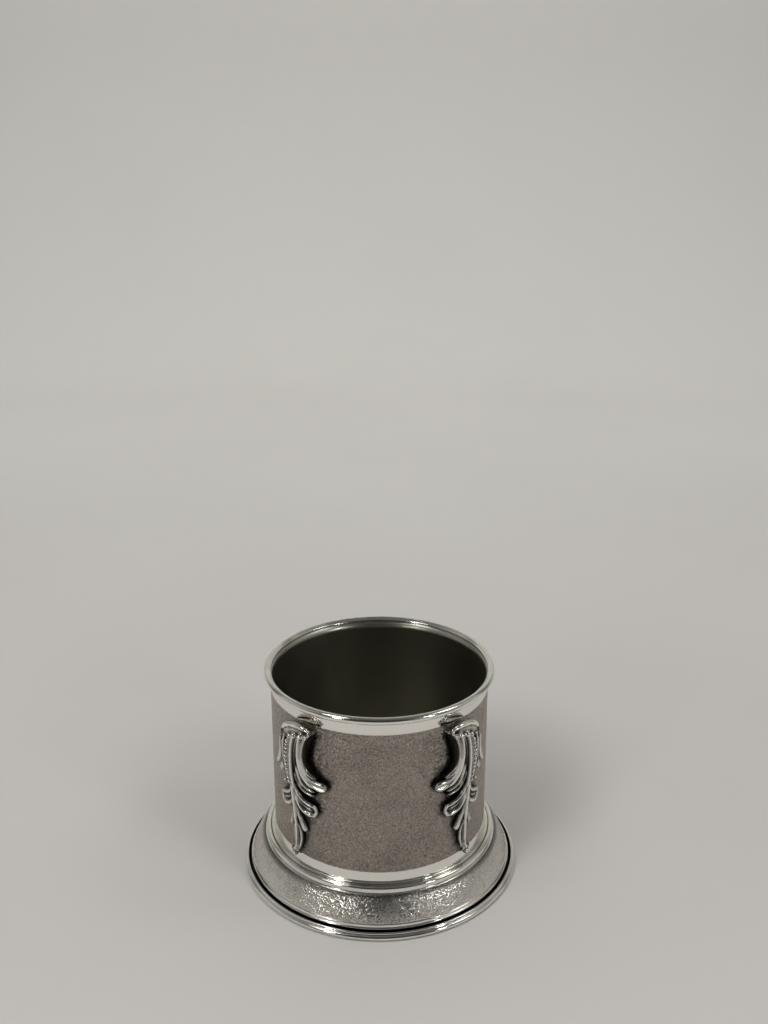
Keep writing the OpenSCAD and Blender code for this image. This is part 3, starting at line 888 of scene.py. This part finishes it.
# knobs follow a path of points (across, up, height) that carries their radius
def makeKnobTree():
    tree, given, result = newGroup(
        "knobsOnWall", "GeometryNodeTree",
        {"Path": "Object", "Spacing": "Float", "Wall Radius": "Float", "Foot Height": "Float",
         "Segments": "Int", "Finish": "Material"}, {"Geometry": "Geometry"})
    shape = addNode(tree, "GeometryNodeObjectInfo", {"Object": given["Path"]}).outputs["Geometry"]
    line = addNode(tree, "GeometryNodeMeshToCurve", {"Mesh": shape})
    even = addNode(tree, "GeometryNodeResampleCurve", {
        "Curve": line.outputs[0], "Length": given["Spacing"]}, mode="LENGTH")
    u, v, height = splitVector(tree, addNode(tree, "GeometryNodeInputPosition").outputs[0])
    wrapped = addNode(tree, "GeometryNodeSetPosition", {
        "Geometry": even.outputs[0], "Position": wrapOnWall(tree, given, u, v, height)})
    segments = given["Segments"]
    knob = addNode(tree, "GeometryNodeMeshUVSphere", {
        "Segments": segments, "Rings": segments * 0.5 + 2, "Radius": mm})
    size = addNode(tree, "GeometryNodeInputNamedAttribute", {"Name": "size"}, data_type="FLOAT")
    placed = addNode(tree, "GeometryNodeInstanceOnPoints", {
        "Points": wrapped.outputs[0], "Instance": knob.outputs["Mesh"], "Scale": size.outputs["Attribute"]})
    endTree(tree, placed.outputs[0], given, result)
    return tree


knobTree = makeKnobTree()


# a smooth curve through the given points
def throughPoints(points, parts=8):
    p = np.array([points[0], *points, points[-1]], dtype=float)
    curve = []
    for a, b, c, d in zip(p, p[1:], p[2:], p[3:]):
        bend, twist = 2 * a - 5 * b + 4 * c - d, 3 * b - a - 3 * c + d
        for t in np.arange(parts) / parts:
            curve.append(0.5 * (2 * b + (c - a) * t + bend * t * t + twist * t ** 3))
    return [tuple(q) for q in curve] + [tuple(p[-1])]


# adds what a tree makes to the casting in work
def addCast(work, tree, values, weld=False):
    seat = {"Wall Radius": cupR, "Foot Height": leaf["foot"], "Finish": castSilver}
    part = runTree("cast", tree, {**values, **seat})
    if weld:
        closeMesh(part)
    work.from_mesh(part.data)
    bpy.data.objects.remove(part)


def addKnobs(work, roll, spacing):
    path = newMeshObject("knobPath", [p[:3] for p in roll])
    path.data.edges.add(len(roll) - 1)
    path.data.edges.foreach_set("vertices", [k for n in range(len(roll) - 1) for k in (n, n + 1)])
    markPoints(path.data, "size", [p[3] for p in roll])
    addCast(work, knobTree, {"Path": path, "Spacing": spacing, "Segments": knobForm["segments"]})
    bpy.data.objects.remove(path)


def addLobe(work, form, side):
    values = {label: Vector((*point, 0)) for label, point in zip(curveEnds, form["path"])}
    for label, key in (("Width", "wide"), ("Crest", "crest"), ("Flank", "flank")):
        values["Start " + label], values["End " + label] = form[key]
    addCast(work, lobeTree, {
        **values, "Rise In": form.get("riseIn", 1.0), "Sharpness": form.get("sharp", 0.9),
        "Spoon": form.get("spoon", 0.0), "Spoon From": form.get("spoonFrom", 0.45), "Side": float(side),
        "Bite": leaf["bite"], "Steps": leaf["steps"], "Around": leaf["around"]}, weld=True)


def pathAt(path, t):
    a, b, c, d = [np.array(p) for p in path]
    return a * (1 - t) ** 3 + b * 3 * t * (1 - t) ** 2 + c * 3 * t * t * (1 - t) + d * t ** 3


def makeLeafCasting():
    work = bmesh.new()
    for side, lobes in ((1, panelLobes + lowerLobes), (-1, outerLobes + lowerLobes), (1, spine)):
        for form in lobes:
            addLobe(work, form, side)
    for roll in rolls:
        addKnobs(work, throughPoints(roll), knobForm["rollGap"])
    for u, v, height, radius in knobs:
        short = [(u, v, height, radius), (u, v + knobForm["single"], height, radius)]
        addKnobs(work, short, knobForm["singleGap"])
    shares = np.linspace(veinBeads["from"], veinBeads["to"], veinBeads["points"])
    lifts = np.linspace(veinBeads["lift"], veinBeads["end"], veinBeads["points"])
    row = [(*pathAt(spine[0]["path"], t), h, veinBeads["size"] / 2) for t, h in zip(shares, lifts)]
    addKnobs(work, row, veinBeads["pitch"])
    casting = newMeshObject("leafCasting", [])
    work.to_mesh(casting.data)
    work.free()
    fuse = casting.modifiers.new("fuse", "REMESH")
    fuse.mode = "VOXEL"
    fuse.voxel_size = leaf["voxel"] * mm
    mesh = plainMesh(casting)
    casting.modifiers.clear()
    casting.data = mesh
    return casting


# smooths the voxel steps away, seats the back on the wall and notes how deep every point lies, which sets
# the painted shade with patina in the hollows
def finishLeaf(casting):
    mesh = casting.data
    points = readPoints(mesh)
    edges = np.zeros(len(mesh.edges) * 2, dtype=int)
    mesh.edges.foreach_get("vertices", edges)
    edges = edges.reshape(-1, 2)
    degree = np.bincount(edges.ravel(), minlength=len(points))[:, None]

    def around(values):
        total = np.zeros_like(values)
        np.add.at(total, edges[:, 0], values[edges[:, 1]])
        np.add.at(total, edges[:, 1], values[edges[:, 0]])
        return total / degree

    shrink, swell = leaf["relax"]
    for _ in range(leaf["smooth"]):
        points = points + shrink * (around(points) - points)
        points = points - swell * (around(points) - points)
    radius = np.hypot(points[:, 0], points[:, 1])
    seat = (cupR - leaf["sink"]) * mm
    low = radius < seat
    points[low, :2] *= (seat / radius[low])[:, None]
    height = (np.maximum(radius, seat) - cupR * mm) / mm
    spots = np.column_stack([np.arctan2(points[:, 0], -points[:, 1]) * cupR, points[:, 2] / mm])
    spots = ((spots - spots.min(axis=0)) / leaf["cell"]).astype(int) + leaf["reach"]
    crests = np.full(spots.max(axis=0) + leaf["reach"] + 1, -1.0)
    np.maximum.at(crests, (spots[:, 0], spots[:, 1]), height)

    # how far a point lies under the highest point within so many cells
    def under(cells, start, full):
        peaks = crests
        for _ in range(cells):
            wide = peaks.copy()
            wide[1:] = np.maximum(wide[1:], peaks[:-1])
            wide[:-1] = np.maximum(wide[:-1], peaks[1:])
            peaks = wide.copy()
            peaks[:, 1:] = np.maximum(peaks[:, 1:], wide[:, :-1])
            peaks[:, :-1] = np.maximum(peaks[:, :-1], wide[:, 1:])
        return smoothShare((peaks[spots[:, 0], spots[:, 1]] - height - start) / (full - start))

    # painted shade with patina: points lying below nearby crests, in the flutes and under the flanks, are
    # painted dark
    dark = np.maximum(under(*leaf["flutes"]) * leaf["fluteTone"], under(*leaf["flanks"]))
    mesh.vertices.foreach_set("co", points.ravel())
    mesh.update()
    # the head's upper side lies open to the light from above, so the painted shade is lifted off the faces
    # turned up: painted light
    upward = np.interp(readPoints(mesh, "normal")[:, 2], leaf["openFacing"], (0, 1))
    upward *= np.clip((points[:, 2] / mm - leaf["foot"] - leaf["openFrom"]) / leaf["openOver"], 0, 1)
    hollowShadeAndPatina = (dark * (1 - leaf["openLit"] * upward))[:, None]
    for _ in range(leaf["blur"]):
        hollowShadeAndPatina = around(hollowShadeAndPatina)
    markPoints(mesh, "hollowShadeAndPatina", hollowShadeAndPatina.ravel())
    mesh.update()


leafSpots = [
    ("leafFrontLeft", "leaf_front_left", -45, 1), ("leafFrontRight", "leaf_front_right", 45, -1),
    ("leafBackRight", "leaf_back_right", 135, 1), ("leafBackLeft", "leaf_back_left", 225, -1),
]


def placeLeaf(casting, name, node, turn, hand):
    piece = addObject(name, casting.data.copy())
    piece.data.name = name
    piece.data.transform(Matrix.Rotation(math.radians(turn), 4, "Z") @ Matrix.Diagonal((hand, 1, 1, 1)))
    piece.data.materials.clear()
    piece.data.materials.append(castSilver)
    closeMesh(piece)
    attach(piece, "root")
    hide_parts(node)
    return piece


# dark patina and painted shadow on the ground close beside the castings, most of all in their bays: the
# darkening stands for the shadow the standing leaves throw on the wall as well as for patina
patinaAndShade = {
    "cell": 0.5, "halfWide": 26.0, "low": -10.0, "high": 78.0, "margin": 1.0, "proud": 0.4, "spread": 5,
    "from": 0.13, "full": 0.42, "fade": 62.0, "fadeOver": 4.0, "fadeLeast": 0.1,
    "strength": [(0, 0.4), (20, 0.6), (38, 0.9), (60, 0.96)],
}


def darkenWall(piece, casting):
    low, high, halfWide, cell = patinaAndShade["low"], patinaAndShade["high"], patinaAndShade["halfWide"], patinaAndShade["cell"]
    points = readPoints(casting.data) / mm
    proud = points[np.hypot(points[:, 0], points[:, 1]) > cupR + patinaAndShade["proud"]]

    def cellOf(u, v):
        return ((u + halfWide) / cell).astype(int), ((v - low) / cell).astype(int)

    cover = np.zeros((int(2 * halfWide / cell), int((high - low) / cell)))
    cover[cellOf(np.arctan2(proud[:, 0], -proud[:, 1]) * cupR, proud[:, 2] - leaf["foot"])] = 1
    kernel = np.ones(2 * patinaAndShade["spread"] + 1) / (2 * patinaAndShade["spread"] + 1)
    for axis in (0, 1, 0, 1):
        cover = np.apply_along_axis(np.convolve, axis, cover, kernel, "same")
    wallPoints = readPoints(piece.data) / mm
    turn = np.arctan2(wallPoints[:, 0], -wallPoints[:, 1])
    up = wallPoints[:, 2] - leaf["foot"]
    shade = np.zeros(len(wallPoints))
    for _, _, spot, hand in leafSpots:
        across = ((turn - math.radians(spot) + math.pi) % fullTurn - math.pi) * cupR * hand
        near = np.abs(across) < halfWide - patinaAndShade["margin"]
        near &= (up > low + patinaAndShade["margin"]) & (up < high - patinaAndShade["margin"])
        shade[near] = np.maximum(shade[near], cover[cellOf(across[near], up[near])])
    share = np.clip((shade - patinaAndShade["from"]) / (patinaAndShade["full"] - patinaAndShade["from"]), 0, 1)
    fade = (patinaAndShade["fade"] + patinaAndShade["fadeOver"] - up) / patinaAndShade["fadeOver"]
    share *= np.clip(fade, patinaAndShade["fadeLeast"], 1)
    outside = np.hypot(wallPoints[:, 0], wallPoints[:, 1]) > cupR - wall["sheet"] / 2
    strength = np.interp(up, *zip(*patinaAndShade["strength"]))
    # painted shadow with patina goes into the wall's colour beside the leaves
    markPoints(piece.data, "patinaAndShade", smoothShare(share) * outside * strength)


casting = makeLeafCasting()
finishLeaf(casting)
leaves = [placeLeaf(casting, *spot) for spot in leafSpots]
darkenWall(turned[0], casting)
bpy.data.objects.remove(casting)
print("leaves:", {o.name: len(o.data.polygons) for o in leaves})


# pale table that sweeps up behind; its colour is painted lighter towards the back and up the sweep: painted
# light
stage = {
    "near": (0.398, 0.382, 0.374, 1), "far": (0.70, 0.697, 0.668, 1), "fade": (-0.1, 1.2), "farShare": 0.9,
    "mottle": 0.2, "mottleScale": 3.0, "mottleDetail": 3.0, "matt": 0.75,
    "drop": 0.0001, "half": 4.0, "bend": 1.5, "radius": 0.5, "rise": 2.2, "bendRows": 17,
}


def makeStage():
    half, bend, radius = stage["half"], stage["bend"], stage["radius"]
    turns = np.linspace(0, math.pi / 2, stage["bendRows"])
    sweep = [(bend - radius + radius * math.sin(a), radius - radius * math.cos(a)) for a in turns]
    side = [(-half, 0.0), *sweep, (bend, stage["rise"])]
    verts = [(x, y, z - stage["drop"]) for x in (-half, half) for y, z in side]
    rows = len(side)
    faces = [(k, k + rows, k + rows + 1, k + 1) for k in range(rows - 1)]
    floor = newMeshObject("tableSweep", verts, faces)
    floor.data.polygons.foreach_set("use_smooth", [True] * len(faces))
    material, tree, shader = newMaterial("paleTable")
    place = objectPlace(tree)
    _, y, _ = splitVector(tree, place)
    mottle = noiseAt(tree, place, stage["mottleScale"], stage["mottleDetail"]) * stage["mottle"]
    # painted light: the colour grows lighter towards the back
    away = mottle + y.between(*stage["fade"], 0.0, stage["farShare"])
    feed(tree, shader.inputs["Base Color"], mixColors(tree, away, stage["near"], stage["far"]))
    shader.inputs["Roughness"].default_value = stage["matt"]
    floor.data.materials.append(material)


makeStage()

# soft room with pale sides and back, darker towards the front and overhead
room = {
    "pale": 0.36, "dark": 0.04, "zenith": 0.14, "seen": 0.535, "tint": (0.98, 0.925),
    "front": (-0.75, 0.15), "horizon": (-0.02, 0.10), "overhead": (0.55, 0.95),
    "lampColor": (1.0, 0.985, 0.96), "lampFar": 1.7,
}
# every lamp: name, direction it stands in, width and height, watts and whether the silver mirrors it
# the mirrored ones are weak, so highlights stay thin, and the fills light the table alone
lamps = [
    ("panelLeft", (-0.44, -0.22, 0.87), (0.33, 0.42), 2.4, True),
    ("panelRight", (0.62, -0.06, 0.78), (0.33, 0.42), 2.1, True),
    ("stripLeft", (-0.578, -0.677, 0.454), (0.13, 0.22), 2.3, True),
    ("stripRight", (0.651, -0.607, 0.454), (0.13, 0.22), 2.3, True),
    ("fillLeft", (-0.42, -0.52, 0.74), (0.5, 0.5), 12, False),
    ("fillRight", (0.52, -0.46, 0.72), (0.5, 0.5), 6, False),
    ("fillAbove", (0.0, 0.25, 0.97), (3.0, 3.0), 20, False),
]


def addLamp(name, direction, size, watts, mirrored):
    light = bpy.data.lights.new(name, "AREA")
    light.shape = "RECTANGLE"
    light.size, light.size_y = size
    light.energy = watts
    light.color = room["lampColor"]
    lamp = addObject(name, light)
    away = Vector(direction).normalized()
    lamp.location = away * room["lampFar"]
    lamp.rotation_euler = away.to_track_quat("Z", "Y").to_euler()
    lamp.visible_glossy = lamp.visible_camera = mirrored


def makeRoom():
    world = bpy.data.worlds.new("studio")
    scene.world = world
    world.use_nodes = True
    tree = world.node_tree
    back = next(n for n in tree.nodes if n.type == "BACKGROUND")
    _, y, z = splitVector(tree, addNode(tree, "ShaderNodeTexCoord").outputs["Generated"])
    front = y.between(*room["front"], 1.0, 0.0) * z.between(*room["horizon"])
    overhead = z.between(*room["overhead"]) * (front * -1.0 + 1.0)
    pale = room["pale"]
    level = front * (room["dark"] - pale) + overhead * (room["zenith"] - pale) + pale
    direct = field(tree, addNode(tree, "ShaderNodeLightPath"), "Is Camera Ray")
    level = level + (level * -1.0 + room["seen"]) * direct
    green, blue = room["tint"]
    feed(tree, back.inputs["Color"], joinVector(tree, level, level * green, level * blue))
    for setup in lamps:
        addLamp(*setup)


makeRoom()
print("room lit by", len(lamps), "lamps")

# the photograph's view: place in millimetres, angles in degrees, lens from the picture's own perspective
view = {
    "side": 2.247, "away": 447.134, "height": 324.245, "pitch": 18.568, "roll": -0.082, "turn": -0.9,
    "pixels": 1077.759, "tall": 1024, "sensor": 36.0, "clip": (0.01, 50.0),
}


def makeCamera():
    data = bpy.data.cameras.new("photoView")
    data.sensor_fit = "AUTO"
    data.sensor_width = view["sensor"]
    data.lens = view["pixels"] / view["tall"] * view["sensor"]
    data.clip_start, data.clip_end = view["clip"]
    camera = addObject("photoView", data)
    swing = Matrix.Rotation(math.radians(view["turn"]), 4, "Z")
    place = Matrix.Translation(Vector((view["side"], -view["away"], view["height"])) * mm)
    pitch = Matrix.Rotation(math.radians(90 - view["pitch"]), 4, "X")
    roll = Matrix.Rotation(math.radians(view["roll"]), 4, "Z")
    camera.matrix_world = swing @ place @ pitch @ roll
    scene.camera = camera


makeCamera()
scene.view_settings.view_transform = "Standard"
